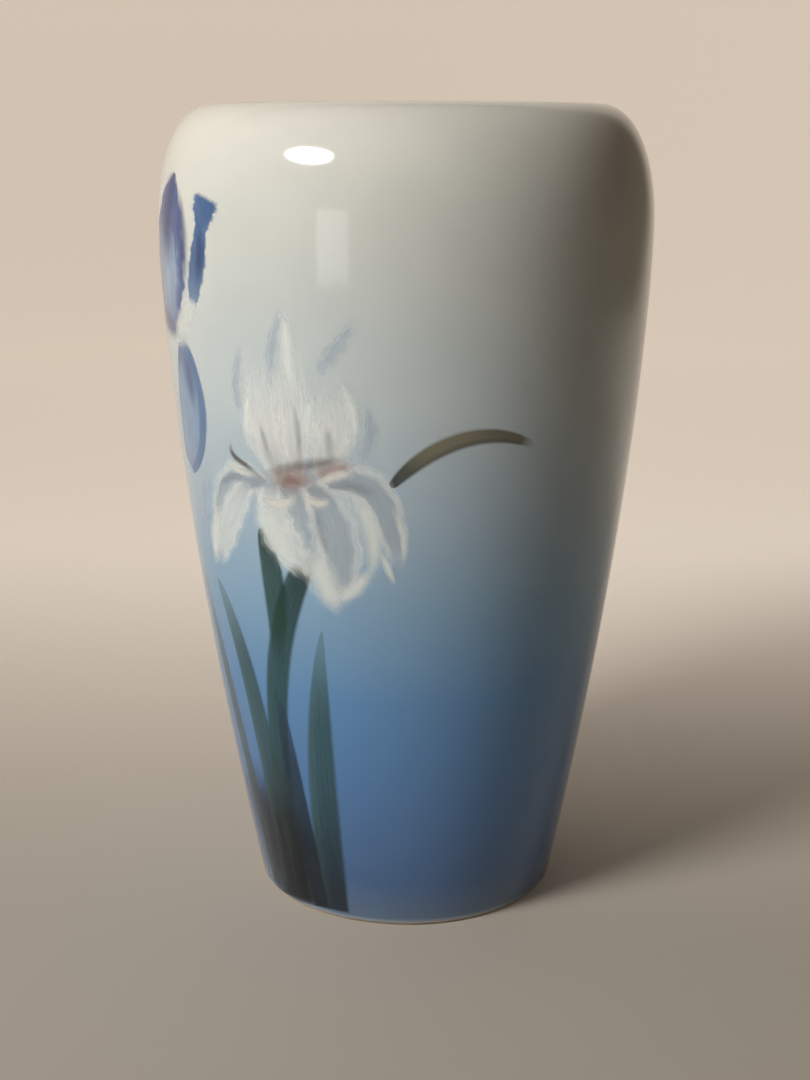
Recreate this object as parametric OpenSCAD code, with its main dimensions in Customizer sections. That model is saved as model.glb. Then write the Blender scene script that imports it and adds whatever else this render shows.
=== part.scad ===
// Porcelain vase: thrown sections luted together, three coats of glaze, and a painting of a white
// and a blue iris laid in thin colour on the outer glaze.
// Millimetres. +Z is up, the origin is the centre of the foot's resting face, and the painting's
// bare side and its white flower face -Y.

/* [Body] */
// Height of the vase
height = 320; // [280:1:400]
// Radius of the foot where it meets the table
foot_r = 62; // [56:0.5:70]
// Widest radius of the body
belly_r = 97.5; // [90:0.5:105]
// Height of the widest point, as a share of the whole height
belly_share = 0.85; // [0.8:0.01:0.88]
// How fast the wall leaves the foot: 1 is a straight cone, 2 a parabola
wall_curve = 1.53; // [1.2:0.01:2]
// Thickness of the fired clay wall
wall_t = 5; // [4:0.25:6]

/* [Shoulder and mouth] */
// Radius of the crown, the highest ring of the shoulder
crown_r = 74; // [68:0.5:80]
// Squareness of the shoulder's curve: 2 is an ellipse
shoulder_power = 2.23; // [2:0.01:3]
// Radius at which the lip meets the turned-in shoulder
lip_r = 56; // [54:0.5:62]
// Radius of the mouth inside its glaze
mouth_r = 49; // [40:0.5:50]
// Height of the lip, from its top to its underside
lip_h = 12; // [10:0.5:16]
// Depth of the soft hollow between the crown and the lip
gutter_h = 2; // [0:0.25:3]

/* [Foot] */
// Height of the foot ring
ring_h = 7; // [5:0.5:10]
// Inner radius of the foot ring
ring_inner_r = 54; // [48:0.5:55]
// Thickness of the floor
floor_t = 6; // [5:0.25:8]
// Radius of the disc that closes the floor
disc_r = 48; // [40:0.5:49]

/* [Glaze and paint] */
// Thickness of each coat of glaze
glaze_t = 0.35; // [0.2:0.05:0.5]
// Height at which the glaze stops above the table
glaze_stop = 1.5; // [1:0.25:3]
// Thickness of each layer of painted colour
paint_t = 0.15; // [0.1:0.01:0.3]

/* [Hidden] */

$fn = 96;

belly_z = height * belly_share;
seam_z = 150;          // height of the seam between the two thrown body sections
key_h = 1.6;           // height of the ridge that centres one section on the next
lip_round = 3;         // rounding of the lip's top inner edge
under_round = 2;       // rounding of the lip's underside
foot_round = 1.2;      // rounding of the foot ring's resting edges
cove_r = 10;           // radius of the cove between the floor and the wall
floor_z = ring_h + floor_t;
wall_steps = 48;       // straight stretches that the full wall is drawn in
curve_steps = 16;      // straight stretches of the shoulder's curve
small_steps = 6;       // straight stretches of each small rounding
paint_gap = 0.06;      // lift that keeps the flat facets of a layer off the round one below
paint_edge = 0.35;     // half width of a painted stroke where it ends

// --- Profile of the vase: d is the depth below the outer glaze -------------------------------

// Outer radius of the wall at height z, up to the widest point
function wall_r(z) =
    belly_r - (belly_r - foot_r) * pow(max(0, 1 - z / belly_z), wall_curve);

// Outer radius at any height, the shoulder included
function outer_r(z) =
    z <= belly_z ? wall_r(z)
    : crown_r + (belly_r - crown_r)
        * pow(1 - pow((z - belly_z) / (height - belly_z), shoulder_power), 1 / shoulder_power);

// Thickness of the clay at height z: it thickens towards the foot
function clay_t(z) = wall_t + 1.5 * exp(-(z - floor_z) / 25);

// A point of the shoulder's curve, t degrees up from the widest point
function shoulder_point(t, d) = [
    crown_r + (belly_r - d - crown_r) * pow(max(0, cos(t)), 2 / shoulder_power),
    belly_z + (height - d - belly_z) * pow(sin(t), 2 / shoulder_power)
];

// Height of the turned-in top at radius r, between the crown and the lip
function gutter_z(r, d) =
    height - d - gutter_h * (1 - cos(360 * (crown_r - r) / (crown_r - lip_r))) / 2;

function wall_line(z0, z1, d) = [
    for (i = [0 : wall_steps])
        let (z = z0 + (z1 - z0) * i / wall_steps) [wall_r(z) - d, z]
];

function clay_line(z0, z1, d) = [
    for (i = [0 : wall_steps])
        let (z = z0 + (z1 - z0) * i / wall_steps) [wall_r(z) - glaze_t - clay_t(z) - d, z]
];

function shoulder_line(d) = [
    for (i = [1 : curve_steps - 1]) shoulder_point(90 * i / curve_steps, d)
];

function gutter_line(d) = [
    for (i = [0 : curve_steps])
        let (r = crown_r + (lip_r - crown_r) * i / curve_steps) [r, gutter_z(r, d)]
];

// Arc about centre c from angle a0 to a1
function arc(c, r, a0, a1) = [
    for (i = [0 : small_steps])
        let (a = a0 + (a1 - a0) * i / small_steps) c + r * [cos(a), sin(a)]
];

function reversed(list) = [for (i = [len(list) - 1 : -1 : 0]) list[i]];

// The lip's rounding into the mouth, d below the glaze
function lip_line(d) =
    arc([mouth_r + lip_round, height - lip_round], lip_round - d, 90, 180);

// The rest of the inside down to the wall, d inside the clay
function under_lip_line(d) = concat(
    arc([mouth_r + glaze_t + under_round, height - lip_h + under_round],
        under_round + d, 180, 270),
    [[lip_r, height - glaze_t - wall_t - d]]
);

// The cove between wall and floor, d inside the clay
cove_c = [disc_r, floor_z + cove_r];
cove_wall_r = wall_r(cove_c[1]) - glaze_t - clay_t(cove_c[1]);
function cove_line(d) = [
    for (i = [0 : small_steps])
        let (a = -90 * i / small_steps)
        cove_c + [(cove_wall_r - disc_r - d) * cos(a), (cove_r - d) * sin(a)]
];

// The whole inside, from the mouth down to the floor, d inside the clay
function inside_line(d) = concat(
    under_lip_line(d),
    reversed(gutter_line(glaze_t + wall_t + d)),
    reversed(shoulder_line(glaze_t + wall_t + d)),
    reversed(clay_line(cove_c[1] + 0.5, belly_z, d)),
    cove_line(d)
);

// A centring ridge across a seam, from one wall face to the other
function key_line(outer, inner, z) = [[outer, z], [(outer + inner) / 2, z + key_h], [inner, z]];

// --- The fired clay ---------------------------------------------------------------------------

module foot_ring() {
    outer = wall_r(ring_h) - glaze_t;
    color("ivory") rotate_extrude() polygon(concat(
        arc([wall_r(0) - glaze_t - foot_round, foot_round], foot_round, -90, 0),
        [[outer, ring_h]],
        reversed(key_line(ring_inner_r, outer, ring_h)),
        arc([ring_inner_r + foot_round, foot_round], foot_round, 180, 270)
    ));
}

module base_disc() {
    color("ivory") translate([0, 0, ring_h]) cylinder(h = floor_t, r = disc_r);
}

module lower_body() {
    inner = wall_r(seam_z) - glaze_t - clay_t(seam_z);
    color("ivory") rotate_extrude() polygon(concat(
        key_line(ring_inner_r, wall_r(ring_h) - glaze_t, ring_h),
        wall_line(ring_h, seam_z, glaze_t),
        key_line(wall_r(seam_z) - glaze_t, inner, seam_z),
        reversed(clay_line(cove_c[1] + 0.5, seam_z, 0)),
        cove_line(0),
        [[disc_r, ring_h]]
    ));
}

module upper_body() {
    color("ivory") rotate_extrude() polygon(concat(
        reversed(key_line(wall_r(seam_z) - glaze_t,
                          wall_r(seam_z) - glaze_t - clay_t(seam_z), seam_z)),
        wall_line(seam_z, belly_z, glaze_t),
        key_line(belly_r - glaze_t, belly_r - glaze_t - clay_t(belly_z), belly_z),
        reversed(clay_line(seam_z, belly_z, 0))
    ));
}

module shoulder() {
    color("ivory") rotate_extrude() polygon(concat(
        reversed(key_line(belly_r - glaze_t, belly_r - glaze_t - clay_t(belly_z), belly_z)),
        shoulder_line(glaze_t),
        gutter_line(glaze_t),
        reversed(gutter_line(glaze_t + wall_t)),
        reversed(shoulder_line(glaze_t + wall_t))
    ));
}

module mouth_lip() {
    color("ivory") rotate_extrude() polygon(concat(
        [[lip_r, height - glaze_t]],
        lip_line(glaze_t),
        under_lip_line(0)
    ));
}

// --- The coats of glaze -----------------------------------------------------------------------

module outer_glaze() {
    color("lightsteelblue") rotate_extrude() polygon(concat(
        wall_line(glaze_stop, belly_z, 0), shoulder_line(0), gutter_line(0), lip_line(0),
        reversed(lip_line(glaze_t)), reversed(gutter_line(glaze_t)),
        reversed(shoulder_line(glaze_t)), reversed(wall_line(glaze_stop, belly_z, glaze_t))
    ));
}

module inner_glaze() {
    mouth_top = height - lip_round;
    color("white") rotate_extrude() polygon(concat(
        [[mouth_r + glaze_t, mouth_top]], inside_line(0), [[0, floor_z]],
        [[0, floor_z + glaze_t]], reversed(inside_line(glaze_t)), [[mouth_r, mouth_top]]
    ));
}

module foot_glaze() {
    color("white") rotate_extrude() polygon([
        [0, ring_h], [ring_inner_r, ring_h], [ring_inner_r, glaze_stop],
        [ring_inner_r - glaze_t, glaze_stop], [ring_inner_r - glaze_t, ring_h - glaze_t],
        [0, ring_h - glaze_t]
    ]);
}

// --- The painting -----------------------------------------------------------------------------
// A stroke follows a cubic curve of four places. Each place is [degrees round the vase, height]:
// 0 degrees faces -Y and the angle grows towards +X. `wide` is the largest half width, `peak` sets
// where along the stroke it falls (1 is the middle, more is nearer the end) and `blunt` how round
// its ends are (small is round, 1 is pointed). `span` is the share of the outline that is drawn:
// a stem or leaf stops short of 1 and meets the foot at nearly its full width.

function cubic(p, v) =
    pow(1 - v, 3) * p[0] + 3 * pow(1 - v, 2) * v * p[1] + 3 * (1 - v) * v * v * p[2]
    + pow(v, 3) * p[3];

function cubic_way(p, v) =
    3 * pow(1 - v, 2) * (p[1] - p[0]) + 6 * (1 - v) * v * (p[2] - p[1])
    + 3 * v * v * (p[3] - p[2]);

// Millimetres along the glaze for one degree round the vase at height z
function mm_per_degree(z) = outer_r(z) * PI / 180;

// The place [degrees, height] that lies u mm to the side of a stroke at v
function beside(p, v, u) =
    let (c = cubic(p, v), w = cubic_way(p, v), k = mm_per_degree(c[1]),
         way = [w[0] * k, w[1]] / norm([w[0] * k, w[1]]))
    [c[0] + way[1] * u / k, c[1] - way[0] * u];

// The point of the glaze at a place, lifted by h
function on_glaze(place, h) =
    let (r = outer_r(place[1]) + h)
    [r * sin(place[0]), -r * cos(place[0]), place[1]];

module stroke(p, wide, peak = 1, blunt = 0.7, along = 12, across = 4, layer = 0, span = 1) {
    row = across + 1;
    count = row * (along + 1);
    lift = paint_gap + layer * (paint_t + paint_gap);
    rise = [lift, lift + paint_t];
    points = [
        for (h = rise, i = [0 : along], j = [0 : across])
            let (v = i / along,
                 half = paint_edge + wide * pow(sin(180 * pow(v * span, peak)), blunt))
            on_glaze(beside(p, v, half * (2 * j / across - 1)), h)
    ];
    under = [
        for (i = [0 : along - 1], j = [0 : across - 1])
            let (a = i * row + j) each [[a, a + row, a + 1], [a + 1, a + row, a + row + 1]]
    ];
    over = [for (f = under) [f[0] + count, f[2] + count, f[1] + count]];
    rim = concat(
        [for (j = [0 : across]) j],
        [for (i = [1 : along]) i * row + across],
        [for (j = [across - 1 : -1 : 0]) along * row + j],
        [for (i = [along - 1 : -1 : 1]) i * row]
    );
    side = [
        for (k = [0 : len(rim) - 1])
            let (a = rim[k], b = rim[(k + 1) % len(rim)])
            each [[a, b, a + count], [b, b + count, a + count]]
    ];
    polyhedron(points = points, faces = concat(under, over, side));
}

// Where strokes cross, the later one lies on the earlier one: layer 0 is on the glaze itself.

module white_iris_standards() color("whitesmoke") {
    stroke([[-31, 187], [-37, 206], [-34, 226], [-30, 247]], 9.5, 1, 0.6, layer = 1);
    stroke([[-21, 188], [-15, 200], [-14, 216], [-20, 238]], 9.5, 0.95, 0.6, layer = 1);
    stroke([[-36, 196], [-42, 210], [-41, 230], [-35, 246]], 5);
    stroke([[-15, 200], [-8, 214], [-9, 232], [-14, 246]], 5.5);
}

module white_iris_falls() color("whitesmoke") {
    stroke([[-37, 184], [-52, 190], [-60, 176], [-59, 149]], 12, 1.1, 0.55, layer = 1);
    stroke([[-32, 184], [-34, 176], [-33, 166], [-28, 154]], 10, 1.1, 0.5);
    stroke([[-22, 185], [-16, 176], [-14, 160], [-18, 141]], 12.5, 1.1, 0.55, layer = 1);
    stroke([[-18, 188], [-8, 190], [-2, 178], [-1.5, 151]], 6.5, 1.1, 0.6);
}

module white_iris_heart() color("rosybrown") {
    stroke([[-37, 186], [-30, 185], [-22, 190], [-12, 193]], 4, 0.9, 0.8, layer = 2);
    stroke([[-38, 183], [-33, 178], [-29, 176], [-24, 182]], 2.2, 1, 0.6, 8, 2, 3);
    stroke([[-24, 181], [-22, 179], [-20, 179], [-17, 182]], 1.8, 1, 0.6, 6, 2, 3);
    stroke([[-22, 188], [-18, 187], [-14, 188], [-11, 192]], 1.8, 1, 0.6, 8, 2, 3);
    stroke([[-49, 189], [-46, 188], [-42, 187], [-38, 186]], 2, 1, 0.6, 8, 2, 3);
}

module blue_iris_standards() color("royalblue") {
    stroke([[-68, 238], [-72, 256], [-68, 278], [-62.5, 295]], 12.5, 1.05, 0.6, layer = 1);
    stroke([[-55, 250], [-51, 262], [-52, 274], [-45, 285]], 5, 1.05);
    stroke([[-80, 240], [-88, 252], [-90, 268], [-86, 288]], 9, 1, 0.6);
}

module blue_iris_falls() color("royalblue") {
    stroke([[-60, 233], [-56, 216], [-59, 198], [-69, 183]], 11.5, 1, 0.6);
    stroke([[-80, 236], [-94, 226], [-100, 206], [-96, 184]], 12, 1.1, 0.6, layer = 1);
}

module blue_iris_heart()
    color("khaki") stroke([[-82, 238], [-74, 241], [-66, 239], [-58, 235]], 3.6, 1, 0.8, 10, 2, 2);

module stems() color("darkslategray") {
    stroke([[-26, 155], [-34, 130], [-41, 90], [-41, 3]], 6, 0.6, 0.35, 20, 3, 1, 0.8);
    stroke([[-37.5, 165], [-36.5, 150], [-35, 130], [-38, 96]], 5, 0.8, 0.7, 12, 3, 2);
    stroke([[-82, 232], [-100, 190], [-92, 90], [-76, 3]], 4, 0.6, 0.3, 20, 2, 1, 0.8);
}

module leaves() color("darkolivegreen") {
    stroke([[-59, 140], [-50, 118], [-45, 70], [-49, 3]], 6.5, 0.8, 0.7, 20, 3, 0, 0.72);
    stroke([[-37, 84], [-36, 60], [-36, 30], [-35, 3]], 5, 0.8, 0.7, 14, 2, 2, 0.7);
    stroke([[-22.5, 125], [-25, 100], [-28, 60], [-26, 3]], 6.5, 0.8, 0.6, 20, 3, 0, 0.78);
    stroke([[-71, 142], [-65, 112], [-61, 60], [-59, 3]], 5.5, 0.8, 0.7, 20, 3, 0, 0.72);
    stroke([[-104, 172], [-96, 130], [-84, 70], [-84, 3]], 6, 0.8, 0.7, 20, 3, 0, 0.76);
    stroke([[-118, 118], [-108, 90], [-96, 40], [-94, 3]], 5.5, 0.8, 0.7, 16, 3, 0, 0.74);
}

module bent_leaf()
    color("olive") stroke([[-0.5, 190], [6, 202], [16, 210], [30, 201]], 2.7, 0.85, 0.75, 16, 2);

// --- The nodes --------------------------------------------------------------------------------

foot_ring();
base_disc();
lower_body();
upper_body();
shoulder();
mouth_lip();
outer_glaze();
inner_glaze();
foot_glaze();
white_iris_standards();
white_iris_falls();
white_iris_heart();
blue_iris_standards();
blue_iris_falls();
blue_iris_heart();
stems();
leaves();
bent_leaf();
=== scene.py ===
"""Looks of a porcelain vase: its coats of glaze, its bare foot and its painting of two irises.

The vase stands on +Z with the centre of its foot at the origin and its front towards -Y. A place on
the glaze is (degrees round the vase, height in millimetres): 0 degrees is the front, and the angle
grows towards +X.
"""

from __future__ import annotations

import logging
import math
from collections.abc import Callable, Sequence
from dataclasses import dataclass, field
from enum import Enum

import bpy
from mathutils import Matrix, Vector

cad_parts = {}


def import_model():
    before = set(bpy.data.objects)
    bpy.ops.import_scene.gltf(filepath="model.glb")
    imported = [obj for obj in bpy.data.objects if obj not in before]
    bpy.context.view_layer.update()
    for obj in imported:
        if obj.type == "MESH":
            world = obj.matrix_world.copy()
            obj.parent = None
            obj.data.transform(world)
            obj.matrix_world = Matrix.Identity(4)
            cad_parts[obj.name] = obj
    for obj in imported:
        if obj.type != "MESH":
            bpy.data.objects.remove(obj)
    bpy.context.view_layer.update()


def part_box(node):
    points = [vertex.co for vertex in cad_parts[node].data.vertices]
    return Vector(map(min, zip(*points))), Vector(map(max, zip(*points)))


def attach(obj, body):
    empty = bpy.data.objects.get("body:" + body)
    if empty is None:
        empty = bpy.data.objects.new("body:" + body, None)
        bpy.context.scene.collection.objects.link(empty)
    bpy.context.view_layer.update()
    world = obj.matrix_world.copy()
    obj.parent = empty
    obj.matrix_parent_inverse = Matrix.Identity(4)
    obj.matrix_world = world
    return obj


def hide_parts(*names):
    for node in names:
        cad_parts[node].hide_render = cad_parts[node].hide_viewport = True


LOG = logging.getLogger("vase")
MM = 0.001
BODY = "root"
SMOOTH = math.radians(40)

Place = tuple[float, float]
Colour = tuple[float, float, float]
Outline = list[tuple[float, float]]


def srgb(red: int, green: int, blue: int) -> Colour:
    """Turns a colour named on the usual 0 to 255 scale into linear light."""
    return tuple(
        part / 12.92 if part <= 0.04045 else ((part + 0.055) / 1.055) ** 2.4
        for part in (red / 255, green / 255, blue / 255)
    )


# --- The shape that everything lies on -----------------------------------------------------------


@dataclass(frozen=True)
class Profile:
    """Outline of the glazed vase, in metres.

    `depth` in the methods is the distance below the outer face of the glaze.
    """

    height: float
    belly_r: float
    foot_r: float = 62 * MM
    belly_share: float = 0.85
    wall_curve: float = 1.53
    crown_r: float = 74 * MM
    shoulder_power: float = 2.23
    gutter_h: float = 2 * MM
    lip_r: float = 56 * MM
    lip_h: float = 12 * MM
    lip_round: float = 3 * MM
    under_round: float = 2 * MM
    mouth_r: float = 49 * MM
    wall_t: float = 5 * MM
    foot_extra_t: float = 1.5 * MM
    foot_extra_h: float = 25 * MM
    glaze_t: float = 0.35 * MM
    glaze_stop: float = 1.5 * MM
    ring_h: float = 7 * MM
    ring_inner_r: float = 54 * MM
    floor_t: float = 6 * MM
    disc_r: float = 48 * MM
    cove_r: float = 10 * MM

    @classmethod
    def from_frame(cls) -> Profile:
        """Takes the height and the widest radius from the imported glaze."""
        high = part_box("outer_glaze")[1]
        return cls(height=high[2], belly_r=high[0])

    @property
    def belly_z(self) -> float:
        """Height of the widest point."""
        return self.height * self.belly_share

    @property
    def floor_z(self) -> float:
        """Height of the clay floor inside."""
        return self.ring_h + self.floor_t

    def wall_r(self, z: float) -> float:
        """Outer radius of the wall at a height up to the widest point."""
        rise = max(0.0, 1 - z / self.belly_z)
        return self.belly_r - (self.belly_r - self.foot_r) * rise**self.wall_curve

    def outer_r(self, z: float) -> float:
        """Outer radius at any height, the shoulder included."""
        if z <= self.belly_z:
            return self.wall_r(z)
        share = min(1.0, (z - self.belly_z) / (self.height - self.belly_z))
        power = self.shoulder_power
        return self.crown_r + (self.belly_r - self.crown_r) * (1 - share**power) ** (1 / power)

    def clay_t(self, z: float) -> float:
        """Thickness of the clay at a height: it thickens towards the foot."""
        return self.wall_t + self.foot_extra_t * math.exp(-(z - self.floor_z) / self.foot_extra_h)

    def gutter_z(self, radius: float, depth: float) -> float:
        """Height of the turned-in top between the crown and the lip."""
        turn = 2 * math.pi * (self.crown_r - radius) / (self.crown_r - self.lip_r)
        return self.height - depth - self.gutter_h * (1 - math.cos(turn)) / 2

    def shoulder_line(self, depth: float, steps: int) -> Outline:
        """The shoulder's curve, from just above the widest point to just before the crown."""
        line = []
        for step in range(1, steps):
            turn = math.pi / 2 * step / steps
            power = 2 / self.shoulder_power
            reach = self.belly_r - depth - self.crown_r
            rise = self.height - depth - self.belly_z
            line.append(
                (
                    self.crown_r + reach * math.cos(turn) ** power,
                    self.belly_z + rise * math.sin(turn) ** power,
                )
            )
        return line

    def gutter_line(self, depth: float, steps: int) -> Outline:
        """The soft hollow from the crown to the lip."""
        span = self.lip_r - self.crown_r
        radii = [self.crown_r + span * step / steps for step in range(steps + 1)]
        return [(radius, self.gutter_z(radius, depth)) for radius in radii]

    def lip_line(self, depth: float, steps: int) -> Outline:
        """The lip's rounding into the mouth."""
        centre = (self.mouth_r + self.lip_round, self.height - self.lip_round)
        return arc(centre, self.lip_round - depth, 90, 180, steps)

    def wall_line(self, low: float, depth: float, steps: int) -> Outline:
        """The wall from a height up to the widest point."""
        heights = [low + (self.belly_z - low) * step / steps for step in range(steps + 1)]
        return [(self.wall_r(z) - depth, z) for z in heights]

    def inside_line(self, depth: float, steps: int) -> Outline:
        """The whole inside, from the mouth down to the floor, `depth` inside the clay.

        Args:
            depth: distance from the clay towards the hollow.
            steps: stretches in the long wall; the curves take a share of them.
        """
        small = max(4, steps // 8)
        skin = self.glaze_t + self.wall_t + depth
        cove_gap = 0.5 * MM
        lip_c = (
            self.mouth_r + self.glaze_t + self.under_round,
            self.height - self.lip_h + self.under_round,
        )
        cove_c = (self.disc_r, self.floor_z + self.cove_r)
        cove_wall = self.wall_r(cove_c[1]) - self.glaze_t - self.clay_t(cove_c[1])
        low = cove_c[1] + cove_gap
        wall = []
        for step in range(steps + 1):
            z = self.belly_z + (low - self.belly_z) * step / steps
            wall.append((self.wall_r(z) - self.glaze_t - self.clay_t(z) - depth, z))
        cove = []
        for step in range(small + 1):
            turn = -math.pi / 2 * step / small
            across = cove_wall - self.disc_r - depth
            down = self.cove_r - depth
            cove.append((cove_c[0] + across * math.cos(turn), cove_c[1] + down * math.sin(turn)))
        return [
            *arc(lip_c, self.under_round + depth, 180, 270, small),
            (self.lip_r, self.height - skin),
            *reversed(self.gutter_line(skin, small)),
            *reversed(self.shoulder_line(skin, 2 * small)),
            *wall,
            *cove,
        ]

    def on_glaze(self, place: Place, lift: float) -> Vector:
        """The point at a place on the glaze, lifted off it by `lift` metres."""
        turn = math.radians(place[0])
        z = place[1] * MM
        radius = self.outer_r(z) + lift
        return Vector((radius * math.sin(turn), -radius * math.cos(turn), z))


def arc(
    centre: tuple[float, float], radius: float, start: float, stop: float, steps: int
) -> Outline:
    """Points of a circular arc.

    Args:
        centre: radius and height of the arc's centre.
        radius: the arc's own radius.
        start: first angle in degrees.
        stop: last angle in degrees.
        steps: stretches in the arc.

    Returns:
        The points, both ends included.
    """
    turns = [math.radians(start + (stop - start) * step / steps) for step in range(steps + 1)]
    return [(centre[0] + radius * math.cos(t), centre[1] + radius * math.sin(t)) for t in turns]


# --- Shader maths --------------------------------------------------------------------------------


class Value:
    """A number that changes over a surface; sums on it add Math nodes."""

    def __init__(self, shader: Shader, socket: bpy.types.NodeSocket) -> None:
        self.shader = shader
        self.socket = socket

    def _sum(self, operation: str, *numbers: Value | float) -> Value:
        """Adds one Math node on these numbers."""
        inputs = dict(enumerate(numbers))
        made = self.shader.add("ShaderNodeMath", {"operation": operation}, inputs)
        return Value(self.shader, made.outputs[0])

    def __add__(self, other: Value | float) -> Value:
        """self + other."""
        return self._sum("ADD", self, other)

    def __radd__(self, other: float) -> Value:
        """other + self."""
        return self._sum("ADD", other, self)

    def __sub__(self, other: Value | float) -> Value:
        """self - other."""
        return self._sum("SUBTRACT", self, other)

    def __rsub__(self, other: float) -> Value:
        """other - self."""
        return self._sum("SUBTRACT", other, self)

    def __mul__(self, other: Value | float) -> Value:
        """self * other."""
        return self._sum("MULTIPLY", self, other)

    def __rmul__(self, other: float) -> Value:
        """other * self."""
        return self._sum("MULTIPLY", other, self)

    def __truediv__(self, other: Value | float) -> Value:
        """self / other."""
        return self._sum("DIVIDE", self, other)

    def __pow__(self, other: Value | float) -> Value:
        """self ** other."""
        return self._sum("POWER", self, other)

    def __abs__(self) -> Value:
        """abs(self)."""
        return self._sum("ABSOLUTE", self)

    def sine(self) -> Value:
        """Sine of this number in radians."""
        return self._sum("SINE", self)

    def ease(self, low: float, high: float) -> Value:
        """Goes smoothly from 0 at `low` to 1 at `high`."""
        made = self.shader.add(
            "ShaderNodeMapRange",
            {"interpolation_type": "SMOOTHSTEP"},
            {"Value": self, "From Min": low, "From Max": high},
        )
        return Value(self.shader, made.outputs["Result"])


class Shader:
    """One material and the nodes that make it."""

    def __init__(self, name: str) -> None:
        self.material = bpy.data.materials.new(name)
        self.material.use_nodes = True
        self.tree = self.material.node_tree
        self.tree.nodes.clear()
        self.surface = self.add("ShaderNodeBsdfPrincipled", {}, {})
        self.add("ShaderNodeOutputMaterial", {}, {"Surface": self.surface.outputs[0]})

    def add(
        self, kind: str, settings: dict[str, object], inputs: dict[str | int, object]
    ) -> bpy.types.Node:
        """Adds a node.

        Args:
            kind: the node's type.
            settings: its properties, set first; `stops` fills a ramp with (place, colour) pairs.
            inputs: for each socket, by name or number, the value it takes or what links to it.

        Returns:
            The new node.
        """
        made = self.tree.nodes.new(kind)
        for key, setting in settings.items():
            if key == "stops":
                self._fill(made.color_ramp, setting)
            else:
                setattr(made, key, setting)
        for key, given in inputs.items():
            source = given.socket if isinstance(given, Value) else given
            if isinstance(source, bpy.types.NodeSocket):
                self.tree.links.new(source, made.inputs[key])
            else:
                made.inputs[key].default_value = source
        return made

    @staticmethod
    def _fill(ramp: bpy.types.ColorRamp, stops: Sequence[tuple[float, Colour]]) -> None:
        """Gives a colour ramp its stops."""
        while len(ramp.elements) < len(stops):
            ramp.elements.new(1.0)
        for element, (place, colour) in zip(ramp.elements, stops, strict=True):
            element.position = place
            element.color = (*colour, 1.0)

    def place(self) -> bpy.types.NodeSocket:
        """The point on the object, in metres."""
        return self.add("ShaderNodeTexCoord", {}, {}).outputs["Object"]

    def parts(self, vector: bpy.types.NodeSocket) -> tuple[Value, Value, Value]:
        """The three numbers of a vector."""
        made = self.add("ShaderNodeSeparateXYZ", {}, {0: vector})
        return tuple(Value(self, socket) for socket in made.outputs)

    def height(self) -> Value:
        """Height above the foot, in metres."""
        return self.parts(self.place())[2]

    def brushed(self) -> tuple[Value, Value]:
        """How far along a stroke a point is, from 0 to 1, and how far across, from -1 to 1."""
        along, up, _ = self.parts(self.add("ShaderNodeTexCoord", {}, {}).outputs["UV"])
        return along, 1 - 2 * up

    def noise(self, where: bpy.types.NodeSocket, scale: float, detail: float = 3.0) -> Value:
        """Soft noise from 0 to 1 at a vector."""
        made = self.add(
            "ShaderNodeTexNoise", {}, {"Vector": where, "Scale": scale, "Detail": detail}
        )
        return Value(self, made.outputs["Fac"])

    def bristles(
        self, stretch: tuple[float, float], seed: float, scale: float, detail: float
    ) -> Value:
        """Noise drawn out along a stroke, as the hairs of a brush leave it.

        Args:
            stretch: how fast it changes along and across the stroke.
            seed: picks one pattern.
            scale: size of the pattern.
            detail: how many finer layers it has.

        Returns:
            The noise, from 0 to 1.
        """
        along, across = self.brushed()
        inputs = {0: along * stretch[0], 1: across * stretch[1], 2: seed}
        where = self.add("ShaderNodeCombineXYZ", {}, inputs).outputs[0]
        return self.noise(where, scale, detail)

    def mix(
        self,
        share: Value | float,
        first: bpy.types.NodeSocket | Colour,
        second: bpy.types.NodeSocket | Colour,
    ) -> bpy.types.NodeSocket:
        """Goes from one colour to another."""
        colours = [
            (*given, 1.0) if isinstance(given, tuple) else given for given in (first, second)
        ]
        made = self.add(
            "ShaderNodeMix",
            {"data_type": "RGBA"},
            {"Factor": share, 6: colours[0], 7: colours[1]},
        )
        return made.outputs[2]

    def ramp(self, at: Value, stops: Sequence[tuple[float, Colour]]) -> bpy.types.NodeSocket:
        """The colour of a ramp at a number from 0 to 1."""
        return self.add("ShaderNodeValToRGB", {"stops": stops}, {0: at}).outputs["Color"]

    def bump(self, height: Value, strength: float, distance: float) -> None:
        """Gives the surface a relief, `distance` metres deep where `height` goes from 0 to 1."""
        inputs = {"Height": height, "Strength": strength, "Distance": distance}
        self.link("Normal", self.add("ShaderNodeBump", {}, inputs).outputs[0])

    def link(self, name: str, source: bpy.types.NodeSocket | Value) -> None:
        """Feeds one socket of the surface."""
        socket = source.socket if isinstance(source, Value) else source
        self.tree.links.new(socket, self.surface.inputs[name])

    def set(self, name: str, value: float | Sequence[float]) -> None:
        """Sets one socket of the surface to the same value all over."""
        self.surface.inputs[name].default_value = value


# --- Finishes ------------------------------------------------------------------------------------


@dataclass(frozen=True)
class Gloss:
    """How the fired glaze shines: smooth, with a slow swell that bends what it reflects."""

    roughness: float = 0.07
    roughness_spread: float = 0.02
    swell: float = 0.25
    swell_scale: float = 22.0
    pitting: float = 0.001
    pitting_scale: float = 420.0
    strength: float = 0.3
    rise: float = 1.2 * MM
    ior: float = 1.5

    def dress(self, shader: Shader) -> None:
        """Gives a shader the gloss and the swell of the glaze."""
        where = shader.place()
        swell = shader.noise(where, self.swell_scale, 1.0)
        pitting = shader.noise(where, self.pitting_scale, 2.0)
        relief = swell * self.swell + pitting * self.pitting
        shader.bump(relief, self.strength, self.rise)
        shader.link("Roughness", self.roughness + pitting * self.roughness_spread)
        shader.set("IOR", self.ior)


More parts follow.
